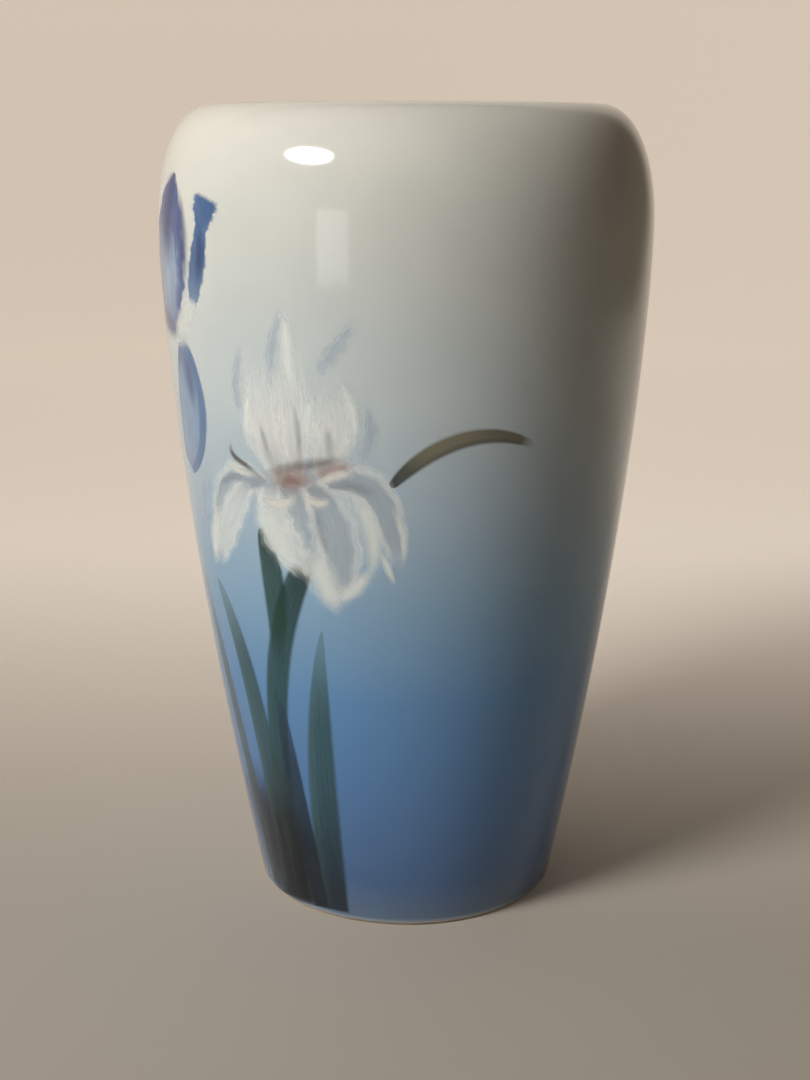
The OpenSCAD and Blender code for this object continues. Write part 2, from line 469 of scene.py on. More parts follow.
GROUND: tuple[tuple[float, Colour], ...] = (
    (0, srgb(110, 130, 152)),
    (20, srgb(86, 118, 162)),
    (60, srgb(94, 138, 190)),
    (100, srgb(106, 154, 202)),
    (140, srgb(145, 181, 208)),
    (175, srgb(178, 198, 211)),
    (215, srgb(204, 214, 214)),
    (270, srgb(215, 217, 208)),
    (320, srgb(218, 213, 199)),
)


@dataclass(frozen=True)
class GradedGlaze:
    """The outer coat: warm white at the top, sprayed to blue at the foot.

    `stops` are (height in millimetres, colour), from the foot up. The drift and the speckle shift
    those heights a little, the cloud greys the colour in patches, and in the edge zone just above
    the bare foot the thin glaze is paler.
    """

    stops: tuple[tuple[float, Colour], ...]
    height: float
    drift: float = 9 * MM
    drift_scale: float = 14.0
    speckle: float = 3 * MM
    speckle_scale: float = 900.0
    cloud: float = 0.06
    cloud_scale: float = 30.0
    cloud_colour: Colour = srgb(120, 130, 135)
    edge: float = 0.6
    edge_colour: Colour = srgb(186, 192, 198)
    edge_zone: tuple[float, float] = (1.6 * MM, 3.4 * MM)
    gloss: Gloss = Gloss()

    def material(self) -> bpy.types.Material:
        """Makes the material."""
        shader = Shader("graded_glaze")
        where = shader.place()
        drift = (shader.noise(where, self.drift_scale) - 0.5) * self.drift
        speckle = (shader.noise(where, self.speckle_scale, 2.0) - 0.5) * self.speckle
        level = (shader.height() + drift + speckle) / self.height
        stops = [(height * MM / self.height, colour) for height, colour in self.stops]
        sprayed = shader.ramp(level, stops)
        cloudy = shader.noise(where, self.cloud_scale, 4.0).ease(0.35, 0.75)
        toned = shader.mix(cloudy * self.cloud, sprayed, self.cloud_colour)
        edge = 1 - shader.height().ease(*self.edge_zone)
        shader.link("Base Color", shader.mix(edge * self.edge, toned, self.edge_colour))
        self.gloss.dress(shader)
        return shader.material


@dataclass(frozen=True)
class ClearGlaze:
    """Clear glaze on white porcelain, with a little colour where it lies thicker."""

    name: str
    colour: Colour = srgb(226, 225, 217)
    thick: Colour = srgb(198, 206, 206)
    pool_scale: float = 18.0
    pool: float = 0.28
    low: float = 0.24
    low_zone: tuple[float, float] = (8 * MM, 60 * MM)
    gloss: Gloss = Gloss()

    def material(self) -> bpy.types.Material:
        """Makes the material."""
        shader = Shader(self.name)
        pooled = shader.noise(shader.place(), self.pool_scale).ease(0.4, 0.75)
        low = 1 - shader.height().ease(*self.low_zone)
        tint = pooled * self.pool + low * self.low
        shader.link("Base Color", shader.mix(tint, self.colour, self.thick))
        self.gloss.dress(shader)
        return shader.material


@dataclass(frozen=True)
class Biscuit:
    """Bare fired porcelain: dry, faintly gritty, with turning marks and a stained foot."""

    name: str
    colour: Colour = srgb(222, 214, 198)
    stain: Colour = srgb(172, 150, 122)
    grit_scale: float = 1400.0
    patch_scale: float = 60.0
    patch: float = 0.3
    rim: float = 0.35
    rim_zone: tuple[float, float] = (0.2 * MM, 1.6 * MM)
    roughness: float = 0.62
    roughness_spread: float = 0.2
    rings_per_metre: float = 9000.0
    ring: float = 0.3
    strength: float = 0.35
    rise: float = 0.1 * MM

    def material(self) -> bpy.types.Material:
        """Makes the material."""
        shader = Shader(self.name)
        where = shader.place()
        grit = shader.noise(where, self.grit_scale)
        patches = shader.noise(where, self.patch_scale, 4.0).ease(0.45, 0.8)
        rim = 1 - shader.height().ease(*self.rim_zone)
        worn = rim * self.rim + patches * self.patch
        shader.link("Base Color", shader.mix(worn, self.colour, self.stain))
        shader.link("Roughness", self.roughness + grit * self.roughness_spread)
        x, y, _ = shader.parts(where)
        rings = ((x * x + y * y) ** 0.5 * self.rings_per_metre).sine()
        shader.bump(grit + rings * self.ring, self.strength, self.rise)
        return shader.material


@dataclass(frozen=True)
class PetalPaint:
    """Thin colour brushed from a petal's base to its tip, streaked along its length.

    The shares run from 0 to 1: `opacity` in the middle and `edge_opacity` at the margin, `streak`
    of shade between the brush marks, `vein` of shade along the ribs, `rim` the width of the margin,
    and the three feathers the widths over which the paint thins out at the sides, base and tip.
    `lean` widens the margin on one side. `base_reach` is where the base colour has gone, and
    `tip_reach` where the margin's colour begins to take over towards the tip.
    """

    name: str
    base: Colour
    body: Colour
    edge: Colour
    shade: Colour
    opacity: float = 0.8
    edge_opacity: float = 0.95
    streak: float = 0.35
    vein: float = 0.3
    veins: float = 4.0
    rim: float = 0.45
    lean: float = 0.0
    feather: float = 0.3
    base_reach: float = 0.4
    tip_reach: float = 0.85
    base_feather: float = 0.12
    tip_feather: float = 0.12
    stroke_stretch: tuple[float, float] = (1.3, 2.6)
    hair_stretch: tuple[float, float] = (1.2, 6.0)
    bristle: float = 3.0
    wander: float = 0.5
    seed: float = 0.0
    gloss: Gloss = Gloss()

    def material(self) -> bpy.types.Material:
        """Makes the material."""
        shader = Shader(self.name)
        along, across = shader.brushed()
        side = abs(across)
        strokes = shader.bristles(self.stroke_stretch, self.seed, self.bristle, 4.0)
        hairs = shader.bristles(self.hair_stretch, self.seed + 3.0, self.bristle, 2.0)
        drift = (strokes - 0.5) * self.wander
        full = 1.0 - self.feather * 0.6
        margin = (side + across * self.lean + drift).ease(full - self.rim, full)
        margin = (margin + (along + drift * 0.5).ease(self.tip_reach, 1.05)).ease(0.0, 1.0)
        colour = shader.mix((along + drift * 0.6).ease(0.0, self.base_reach), self.base, self.body)
        marks = hairs.ease(0.42, 0.68) * self.streak
        colour = shader.mix(marks, colour, self.shade)
        ribs = abs(((across + drift * 0.3) * (self.veins * math.pi / 2)).sine()).ease(0.86, 1.0)
        ribs = ribs * (1 - along.ease(0.25, 0.8)) * (1 - side.ease(0.6, 0.95))
        colour = shader.mix(ribs * self.vein, colour, self.shade)
        colour = shader.mix(margin * (0.75 + hairs * 0.3), colour, self.edge)
        shader.link("Base Color", colour)
        eaten = strokes.ease(0.3, 0.7) * 0.4 + hairs.ease(0.35, 0.7) * 0.12
        fade = (1 - side - eaten * self.feather * 0.6).ease(0.0, self.feather)
        fade = fade * (along - eaten * self.base_feather * 0.5).ease(0.0, self.base_feather)
        fade = fade * (1 - along - eaten * self.tip_feather * 0.3).ease(0.0, self.tip_feather)
        cover = self.opacity + margin * (self.edge_opacity - self.opacity)
        shader.link("Alpha", fade * cover * (1.04 - eaten * 0.2))
        self.gloss.dress(shader)
        return shader.material


@dataclass(frozen=True)
class LeafPaint:
    """Colour of a stem or leaf, brushed from its tip to its foot with a lit side and ribs.

    The shares run from 0 to 1, as in a petal's paint: `rib` of shade in the ribs, `lit_share` of
    the lit colour on one side, and `ragged` how uneven the margin is.
    """

    name: str
    tip: Colour
    body: Colour
    foot: Colour
    lit: Colour
    opacity: float = 0.92
    tip_opacity: float = 0.55
    rib: float = 0.35
    lit_share: float = 0.35
    feather: float = 0.3
    foot_feather: float = 0.01
    ribs: float = 3.5
    stroke_stretch: tuple[float, float] = (2.2, 2.4)
    grain_stretch: tuple[float, float] = (9.0, 16.0)
    bristle: float = 4.0
    ragged: float = 0.2
    seed: float = 0.0
    gloss: Gloss = Gloss()

    def material(self) -> bpy.types.Material:
        """Makes the material."""
        shader = Shader(self.name)
        along, across = shader.brushed()
        side = abs(across)
        strokes = shader.bristles(self.stroke_stretch, self.seed, self.bristle, 5.0)
        grain = shader.bristles(self.grain_stretch, self.seed + 5.0, self.bristle, 3.0)
        colour = shader.mix(along.ease(0.0, 0.4), self.tip, self.body)
        colour = shader.mix((along + (strokes - 0.5) * 0.4).ease(0.5, 1.0), colour, self.foot)
        lit = (across + (strokes - 0.5) * 0.5).ease(0.05, 0.75) * self.lit_share
        colour = shader.mix(lit, colour, self.lit)
        ribs = abs(((across + strokes * 0.3) * (self.ribs * math.pi)).sine()).ease(0.8, 1.0)
        colour = shader.mix(ribs * self.rib * grain.ease(0.35, 0.65), colour, self.foot)
        shader.link("Base Color", colour)
        ragged = (grain - 0.5) * self.ragged
        fade = (1 - side + ragged).ease(0.03, self.feather + 0.03)
        fade = fade * (1 - along).ease(0.0, self.foot_feather)
        cover = self.tip_opacity + along.ease(0.0, 0.35) * (self.opacity - self.tip_opacity)
        shader.link("Alpha", fade * cover * (0.85 + strokes * 0.2))
        self.gloss.dress(shader)
        return shader.material


@dataclass(frozen=True)
class Wash:
    """One soft patch of colour with no hard edge.

    `softness` is the share of the width over which it fades, `foot_feather` the share of the length
    over which its end fades, and `darkest` the tone of its darkest clouds.
    """

    name: str
    colour: Colour
    opacity: float = 0.5
    softness: float = 0.8
    foot_feather: float = 0.3
    stretch: tuple[float, float] = (2.0, 2.0)
    bristle: float = 3.0
    darkest: float = 0.8
    seed: float = 0.0
    gloss: Gloss = Gloss()

    def material(self) -> bpy.types.Material:
        """Makes the material."""
        shader = Shader(self.name)
        along, across = shader.brushed()
        cloud = shader.bristles(self.stretch, self.seed, self.bristle, 4.0)
        tone = tuple(part * self.darkest for part in self.colour)
        shader.link("Base Color", shader.mix(cloud, self.colour, tone))
        fade = (1 - abs(across) + (cloud - 0.5) * 0.4).ease(0.02, self.softness)
        fade = fade * along.ease(0.0, self.softness * 0.5)
        fade = fade * (1 - along).ease(0.0, self.foot_feather)
        shader.link("Alpha", fade * self.opacity)
        self.gloss.dress(shader)
        return shader.material


@dataclass(frozen=True)
class StagePaint:
    """Matt paint of the floor and its curved wall: pale, and dim before the vase. The stage also
    glows with painted light (emission), faintly all round and strongly behind the vase, and this
    light falls on the vase as a lamp's would.

    The zones are stretches of the stage in metres: from the front, `dim_zone` is where the dim
    paint turns pale and `glow_zone` where the painted glow comes in; to the right, in `dark_zone`,
    the glow goes, which leaves the vase's right side darker.
    """

    colour: Colour = srgb(190, 180, 166)
    dim: Colour = srgb(112, 100, 84)
    glow: Colour = srgb(214, 201, 187)
    behind: float = 0.75
    around: float = 0.02
    mottle: float = 0.15
    mottle_scale: float = 2.0
    mottle_colour: Colour = srgb(180, 172, 160)
    roughness: float = 0.95
    specular: float = 0.1
    dim_zone: tuple[float, float] = (-1.2, -0.5)
    glow_zone: tuple[float, float] = (-0.1, 0.6)
    dark_zone: tuple[float, float] = (1.0, 1.6)

    def material(self) -> bpy.types.Material:
        """Makes the material."""
        shader = Shader("stage_paint")
        where = shader.place()
        right, back, _ = shader.parts(where)
        mottle = shader.noise(where, self.mottle_scale) * self.mottle
        paint = shader.mix(mottle, self.colour, self.mottle_colour)
        shader.link("Base Color", shader.mix(back.ease(*self.dim_zone), self.dim, paint))
        shader.set("Roughness", self.roughness)
        shader.set("Specular IOR Level", self.specular)
        # Painted light: the stage's glow, strong behind the vase and fading out to the right.
        lit = back.ease(*self.glow_zone) * (1 - right.ease(*self.dark_zone))
        power = self.around + lit * (self.behind - self.around)
        shader.link("Emission Color", shader.mix(power, (0.0, 0.0, 0.0), self.glow))
        shader.set("Emission Strength", 1.0)
        return shader.material


# --- Making meshes -------------------------------------------------------------------------------


def clear_selection() -> None:
    """Leaves nothing selected, so that an operator acts on the next new piece only."""
    bpy.ops.object.select_all(action="DESELECT")


def take(name: str) -> bpy.types.Object:
    """Names the active object and its mesh."""
    piece = bpy.context.object
    piece.name = name
    piece.data.name = name
    return piece


def spun(name: str, outline: Outline, steps: int, closed: bool) -> bpy.types.Object:
    """Turns an outline round the vase's axis.

    Args:
        name: the piece's name.
        outline: its points as (radius, height).
        steps: stretches round the axis.
        closed: whether the outline is a loop, as a wall with two faces is.

    Returns:
        The piece, with its normals outwards.
    """
    clear_selection()
    bpy.ops.mesh.primitive_plane_add(size=1.0)
    piece = take(name)
    bpy.ops.object.mode_set(mode="EDIT")
    bpy.ops.mesh.delete(type="ONLY_FACE")
    bpy.ops.mesh.select_all(action="SELECT")
    bpy.ops.mesh.merge(type="CENTER")
    start = outline[0]
    bpy.ops.transform.translate(value=(start[0], 0.0, start[1]))
    rest = [*outline[1:], outline[0]] if closed else outline[1:]
    for before, after in zip(outline, rest, strict=False):
        step = (after[0] - before[0], 0.0, after[1] - before[1])
        bpy.ops.mesh.extrude_vertices_move(TRANSFORM_OT_translate={"value": step})
    bpy.ops.mesh.select_all(action="SELECT")
    bpy.ops.mesh.remove_doubles(threshold=1e-7)
    bpy.ops.mesh.spin(
        steps=steps, angle=2 * math.pi, center=(0.0, 0.0, 0.0), axis=(0.0, 0.0, 1.0)
    )
    bpy.ops.mesh.select_all(action="SELECT")
    bpy.ops.mesh.remove_doubles(threshold=2e-6)
    bpy.ops.mesh.normals_make_consistent(inside=False)
    bpy.ops.object.mode_set(mode="OBJECT")
    bpy.ops.object.shade_smooth_by_angle(angle=SMOOTH)
    return piece


class Margin(Enum):
    """How the outline of a stroke runs along its two sides."""

    PLAIN = "plain"
    FRILLED = "frilled"


@dataclass(frozen=True)
class Stroke:
    """One shape of the painting, along a cubic curve of four places.

    `half` is the largest half width in millimetres, `peak` sets where it falls (1 is the middle,
    less is nearer the end), `blunt` how round the ends are, and `span` the share of the outline
    that is drawn. `layer` counts the coats of colour below it. `frill` is how deep the frills are,
    as a share of the width, and `frills` how many there are. `cells` is the grid, along and across.
    """

    name: str
    node: str
    slot: str
    finish: PetalPaint | LeafPaint | Wash
    path: tuple[Place, Place, Place, Place]
    half: float
    peak: float = 1.0
    blunt: float = 0.7
    span: float = 1.0
    layer: int = 0
    margin: Margin = Margin.PLAIN
    frill: float = 0.09
    frills: float = 5.0
    cells: tuple[int, int] = (72, 28)
    edge: float = 0.35

    def centre(self, share: float) -> Vector:
        """The place on the stroke's spine."""
        points = [Vector(place) for place in self.path]
        rest = 1 - share
        return (
            rest**3 * points[0]
            + 3 * rest**2 * share * points[1]
            + 3 * rest * share**2 * points[2]
            + share**3 * points[3]
        )

    def heading(self, share: float) -> Vector:
        """The way the spine runs, as change of place."""
        points = [Vector(place) for place in self.path]
        rest = 1 - share
        return (
            3 * rest**2 * (points[1] - points[0])
            + 6 * rest * share * (points[2] - points[1])
            + 3 * share**2 * (points[3] - points[2])
        )

    def half_width(self, share: float, side: float) -> float:
        """Half width in millimetres on the side that `side` is the sign of."""
        turn = math.pi * (share * self.span) ** self.peak
        width = self.edge + self.half * max(0.0, math.sin(turn)) ** self.blunt
        if self.margin is Margin.FRILLED:
            phase = 1.9 if side > 0 else 0.0
            beat = 2 * math.pi * self.frills * share
            wave = 0.65 * math.sin(beat + phase) + 0.35 * math.sin(2.3 * beat + 2.7 * phase)
            width *= 1 + self.frill * wave
        return width

    def place(self, share: float, side: float, profile: Profile) -> Place:
        """The place `side` (from -1 to 1) of the half width beside the spine."""
        middle = self.centre(share)
        way = self.heading(share)
        per_degree = profile.outer_r(middle.y * MM) / MM * math.pi / 180
        across = Vector((way.x * per_degree, way.y)).normalized()
        offset = side * self.half_width(share, side)
        return (middle.x + across.y * offset / per_degree, middle.y - across.x * offset)


@dataclass
class Brush:
    """Lays strokes on the glaze as thin closed skins that follow its curve.

    `first_lift` and `layer_lift` raise the faces off the glaze and off one another, `depth` is the
    thickness of a skin, and no stroke goes lower than `low_stop` millimetres.
    """

    profile: Profile
    first_lift: float = 0.02 * MM
    layer_lift: float = 0.012 * MM
    depth: float = 0.25 * MM
    low_stop: float = 1.6
    materials: dict[str, bpy.types.Material] = field(default_factory=dict)

    def paint(self, stroke: Stroke) -> bpy.types.Object:
        """Makes the piece of one stroke.

        Args:
            stroke: the shape, its finish and the node that it stands for.

        Returns:
            The piece, dressed and riding on the vase.
        """
        clear_selection()
        bpy.ops.mesh.primitive_grid_add(
            x_subdivisions=stroke.cells[0], y_subdivisions=stroke.cells[1], size=1.0
        )
        piece = take(stroke.name)
        lift = self.first_lift + stroke.layer * self.layer_lift
        for vertex in piece.data.vertices:
            share = vertex.co.x + 0.5
            side = -2 * vertex.co.y
            turn, height = stroke.place(share, side, self.profile)
            vertex.co = self.profile.on_glaze((turn, max(self.low_stop, height)), lift)
        wall = piece.modifiers.new("wall", "SOLIDIFY")
        wall.thickness = self.depth
        wall.offset = -1.0
        bpy.ops.object.modifier_apply(modifier=wall.name)
        bpy.ops.object.shade_smooth_by_angle(angle=SMOOTH)
        finish = stroke.finish
        if finish.name not in self.materials:
            self.materials[finish.name] = finish.material()
        piece.data.materials.append(self.materials[finish.name])
        piece.visible_shadow = False
        piece.visible_diffuse = False
        piece.visible_glossy = False
        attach(piece, BODY)
        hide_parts(stroke.node)
        LOG.info("%s: %d faces on layer %d", stroke.name, len(piece.data.polygons), stroke.layer)
        return piece


# --- The vase ------------------------------------------------------------------------------------


@dataclass
class Coats:
    """The three coats of fired glaze."""

    profile: Profile
    steps: int = 384
    wall_steps: int = 100
    curve_steps: int = 44
    gutter_steps: int = 18
    lip_steps: int = 8
    clay_steps: int = 24
    inside_steps: int = 64
    hidden_steps: int = 10
    corner_r: float = 1.5 * MM

    def build(self) -> None:
        """Makes the outer, inner and foot glaze."""
        self.outer()
        self.inner()
        self.foot()

    def finish(
        self, piece: bpy.types.Object, material: bpy.types.Material, slot: str, node: str
    ) -> None:
        """Dresses one coat and ties it to the frame."""
        piece.data.materials.append(material)
        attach(piece, BODY)
        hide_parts(node)
        LOG.info("%s: %d faces", piece.name, len(piece.data.polygons))

    def outer(self) -> None:
        """The graded coat over the wall, the shoulder and the lip."""
        shape = self.profile
        few = self.hidden_steps
        face = [
            *shape.wall_line(shape.glaze_stop, 0.0, self.wall_steps),
            *shape.shoulder_line(0.0, self.curve_steps),
            *shape.gutter_line(0.0, self.gutter_steps),
            *shape.lip_line(0.0, self.lip_steps)[1:],
        ]
        depth = shape.glaze_t
        back = [
            *shape.wall_line(shape.glaze_stop, depth, few),
            *shape.shoulder_line(depth, few),
            *shape.gutter_line(depth, few),
            *shape.lip_line(depth, self.lip_steps // 2)[1:],
        ]
        piece = spun("outer_glaze_coat", [*face, *reversed(back)], self.steps, True)
        glaze = GradedGlaze(stops=GROUND, height=shape.height)
        self.finish(piece, glaze.material(), "graded_glaze", "outer_glaze")

    def inner(self) -> None:
        """The clear coat down the inside and over the floor."""
        shape = self.profile
        top = shape.height - shape.lip_round
        clay = [(shape.mouth_r + shape.glaze_t, top), *shape.inside_line(0.0, self.clay_steps)]
        face = [(shape.mouth_r, top), *shape.inside_line(shape.glaze_t, self.inside_steps)]
        floor = shape.floor_z
        loop = [*clay, (0.0, floor), (0.0, floor + shape.glaze_t), *reversed(face), clay[0]]
        piece = spun("inner_glaze_coat", loop, self.steps // 2, False)
        self.finish(piece, ClearGlaze("inner_clear_glaze").material(), "clear_glaze", "inner_glaze")

    def foot(self) -> None:
        """The clear coat in the recess under the foot, with a filleted corner."""
        shape = self.profile
        wall_r = shape.ring_inner_r - shape.glaze_t
        top = shape.ring_h
        centre = (wall_r - self.corner_r, top - shape.glaze_t - self.corner_r)
        corner = arc(centre, self.corner_r, 0, 90, self.lip_steps)
        loop = [
            (0.0, top),
            (shape.ring_inner_r, top),
            (shape.ring_inner_r, shape.glaze_stop),
            (wall_r, shape.glaze_stop),
            *corner,
            (0.0, top - shape.glaze_t),
        ]
        piece = spun("foot_glaze_coat", loop, self.steps // 2, False)
        self.finish(piece, ClearGlaze("foot_clear_glaze").material(), "clear_glaze", "foot_glaze")


# --- The painting --------------------------------------------------------------------------------

# What the strokes of one part of the painting share.
Shared = dict[str, str | Margin]
FRILLED: Shared = dict(margin=Margin.FRILLED)
WHITE: Shared = dict(node="white_iris_standards", slot="white_petal_paint")
WHITE_FALL: Shared = dict(node="white_iris_falls", slot="white_petal_paint")
WHITE_HEART: Shared = dict(node="white_iris_heart", slot="throat_paint")
BLUE: Shared = dict(node="blue_iris_standards", slot="blue_petal_paint")
BLUE_FALL: Shared = dict(node="blue_iris_falls", slot="blue_petal_paint")
BLUE_HEART: Shared = dict(node="blue_iris_heart", slot="blue_throat_paint")
STEM: Shared = dict(node="stems", slot="leaf_paint")
LEAF: Shared = dict(node="leaves", slot="leaf_paint")


@dataclass
class WhiteIris:
    """The white iris: upright petals, hanging petals and a pink-brown throat."""

    brush: Brush
    standard: PetalPaint = PetalPaint(
        name="white_standard_paint",
        base=srgb(190, 190, 188),
        body=srgb(232, 233, 226),
        edge=srgb(240, 239, 230),
        shade=srgb(206, 210, 211),
        opacity=0.95,
        edge_opacity=0.9,
        streak=0.35,
        tip_feather=0.6,
        base_feather=0.05,
        feather=0.6,
        seed=1.0,
    )
    veil: PetalPaint = PetalPaint(
        name="white_veil_paint",
        base=srgb(206, 212, 212),
        body=srgb(176, 189, 200),
        edge=srgb(168, 182, 196),
        shade=srgb(158, 174, 190),
        opacity=0.75,
        edge_opacity=0.75,
        lean=-0.5,
        rim=0.6,
        feather=0.95,
        base_feather=0.25,
        tip_feather=0.3,
        seed=4.0,
    )
    fall: PetalPaint = PetalPaint(
        name="white_fall_paint",
        base=srgb(158, 163, 166),
        body=srgb(178, 190, 198),
        edge=srgb(234, 238, 232),
        shade=srgb(158, 170, 180),
        opacity=0.92,
        edge_opacity=0.9,
        rim=0.45,
        feather=0.5,
        base_feather=0.06,
        seed=7.0,
    )
    pale: PetalPaint = PetalPaint(
        name="pale_fall_paint",
        base=srgb(200, 203, 203),
        body=srgb(222, 228, 226),
        edge=srgb(238, 243, 236),
        shade=srgb(190, 200, 208),
        opacity=0.92,
        edge_opacity=0.9,
        rim=0.5,
        feather=0.6,
        tip_feather=0.2,
        seed=9.0,
    )
    # White paint for pale margins and tips; the same wash also paints a painted highlight and a
    # painted window reflection on the upright petals.
    light: Wash = Wash(name="white_and_highlight_wash", colour=srgb(242, 248, 240), opacity=0.95, softness=1.0)
    grey: Wash = Wash(name="grey_wash", colour=srgb(140, 146, 152), opacity=0.5, softness=1.0)

    def build(self) -> None:
        """Paints the whole flower, the furthest petals first."""
        for stroke in (*self.standards(), *self.falls(), *self.heart()):
            self.brush.paint(stroke)

    def standards(self) -> list[Stroke]:
        """The upright petals, with a painted highlight and a painted window reflection laid over
        them.
        """
        return [
            Stroke("white_veil_left", finish=self.veil, half=4, blunt=0.5, layer=1,
                   path=((-39, 207), (-42, 217), (-40.5, 226), (-38, 238)), **FRILLED, **WHITE),
            Stroke("white_veil_middle", finish=self.veil, half=4.5, layer=1,
                   path=((-31, 212), (-31.5, 228), (-29.5, 241), (-26, 253)), **FRILLED, **WHITE),
            Stroke("white_veil_right", finish=self.veil, half=5, layer=1,
                   path=((-21, 224), (-17, 232), (-13.5, 239), (-9.5, 249)), **FRILLED, **WHITE),
            Stroke("white_veil_far", finish=self.veil, half=4, layer=1,
                   path=((-12, 192), (-7, 201), (-6.5, 210), (-9.5, 220)), **FRILLED, **WHITE),
            Stroke("white_standard_middle", finish=self.standard, half=9, blunt=0.55, layer=6,
                   path=((-25, 187), (-25.5, 204), (-26, 220), (-25.5, 252)), **FRILLED, **WHITE),
            Stroke("white_standard_left", finish=self.standard, half=12, blunt=0.5, layer=7,
                   path=((-29.5, 186), (-34, 203), (-35.5, 219), (-32, 245)), **FRILLED, **WHITE),
            Stroke("white_standard_right", finish=self.standard, half=12, blunt=0.5, layer=8,
                   path=((-19.5, 188), (-16.5, 203), (-14.5, 215), (-18, 235)), **FRILLED, **WHITE),
            Stroke("white_fold_left", finish=self.grey, half=1.8, layer=9, cells=(36, 10),
                   path=((-31, 189), (-32.5, 197), (-34, 202), (-34.5, 210)), **WHITE),
            Stroke("white_fold_middle", finish=self.grey, half=1.8, layer=9, cells=(36, 10),
                   path=((-25, 190), (-24, 199), (-24.2, 206), (-25.5, 219)), **WHITE),
            Stroke("white_fold_right", finish=self.grey, half=2.4, layer=9, cells=(36, 10),
                   path=((-17, 191), (-17, 199), (-17, 204), (-17.5, 210)), **WHITE),
            Stroke("white_light_left", finish=self.light, half=2.6, layer=10, cells=(36, 10),
                   path=((-37.5, 194), (-39, 201), (-39, 211), (-36, 222)), **WHITE),
            # Painted highlight: a white spot that stands for a glint of light on the glaze over the
            # standards.
            Stroke("white_light_middle", finish=self.light, half=2.8, layer=10, cells=(36, 10),
                   path=((-21.5, 200), (-22.5, 207), (-22.5, 213), (-20, 221)), **WHITE),
            # Painted reflection: a pale strip that stands for a window reflected in the glaze, laid
            # over the tops of the standards.
            Stroke("white_light_top", finish=self.light, half=3.6, layer=10, cells=(36, 10),
                   path=((-25, 214), (-26, 226), (-26.5, 238), (-26, 251)), **WHITE),
            Stroke("white_light_right", finish=self.light, half=2.2, layer=10, cells=(36, 10),
                   path=((-13.5, 198), (-10.5, 206), (-10.5, 214), (-14.5, 226)), **WHITE),
        ]

    def falls(self) -> list[Stroke]:
        """The hanging petals."""
        return [
            Stroke("white_fall_back", finish=self.fall, half=13, blunt=0.45, layer=6,
                   path=((-28, 189), (-27, 176), (-24, 166), (-22, 148)), **FRILLED, **WHITE_FALL),
            Stroke("white_fall_edge", finish=self.veil, half=5, blunt=0.6, layer=6,
                   path=((-53, 186), (-59, 178), (-62, 170), (-60.5, 158)), **WHITE_FALL),
            Stroke("white_fall_right", finish=self.fall, half=9, blunt=0.45, layer=7,
                   path=((-19, 186), (-10, 194), (-3, 186), (-2, 153)), **FRILLED, **WHITE_FALL),
            Stroke("white_fall_left", finish=self.fall, half=9.5, blunt=0.45, layer=7,
                   path=((-33, 184), (-43, 189), (-51, 182), (-54, 157)), **FRILLED, **WHITE_FALL),
            Stroke("white_lobe_left", finish=self.pale, half=9.5, blunt=0.5, layer=8,
                   path=((-39, 185), (-45, 175), (-51, 163), (-57, 145)), **FRILLED, **WHITE_FALL),
            Stroke("white_fall_side", finish=self.pale, half=12, blunt=0.45, layer=9,
                   path=((-32.5, 186), (-35, 174), (-31, 162), (-24, 150)), **FRILLED,
                   **WHITE_FALL),
            Stroke("white_fall_front", finish=self.fall, half=12.5, peak=1.1, blunt=0.45, layer=10,
                   path=((-22.5, 187), (-17.5, 178), (-13.5, 164), (-18, 139)), **FRILLED,
                   **WHITE_FALL),
            Stroke("white_rim_front", finish=self.light, half=5, layer=11, cells=(60, 12),
                   path=((-17, 187), (-9, 183), (-5, 167), (-9.5, 147)), **WHITE_FALL),
            Stroke("white_tip_front", finish=self.light, half=9, layer=12, cells=(48, 12),
                   path=((-24, 168), (-22.5, 155), (-19, 146), (-16.5, 135)), **WHITE_FALL),
            Stroke("white_rim_low", finish=self.light, half=4.5, layer=13, cells=(48, 10),
                   path=((-20, 144), (-15, 142), (-11, 148), (-8, 158)), **WHITE_FALL),
            Stroke("white_tip_left", finish=self.light, half=5, layer=9, cells=(48, 12),
                   path=((-51, 176), (-56, 164), (-57.5, 156), (-58.5, 144)), **WHITE_FALL),
            Stroke("white_light_side", finish=self.light, half=8, layer=10, cells=(48, 12),
                   path=((-36, 182), (-36, 172), (-32, 162), (-26, 151)), **WHITE_FALL),
            Stroke("white_tip_right", finish=self.light, half=1.6, layer=8, cells=(48, 10),
                   path=((-4, 181), (-1.5, 175), (0, 168), (-0.5, 156)), **WHITE_FALL),
            Stroke("white_tip_far", finish=self.light, half=1.9, layer=8, cells=(36, 10),
                   path=((-7, 166), (-5.5, 160), (-4, 154), (-2.5, 149)), **WHITE_FALL),
            Stroke("white_fold_front", finish=self.grey, half=2.6, layer=11, cells=(48, 10),
                   path=((-20.5, 184), (-21.5, 176), (-21, 167), (-18, 158)), **WHITE_FALL),
            Stroke("white_shadow_right", finish=self.grey, half=3.6, layer=11, cells=(48, 12),
                   path=((-20, 184), (-15, 188), (-10, 188), (-5, 182)), **WHITE_FALL),
            Stroke("white_shadow_left", finish=self.grey, half=2.6, layer=9, cells=(48, 12),
                   path=((-36, 184), (-42, 187), (-48, 186), (-52, 178)), **WHITE_FALL),
        ]

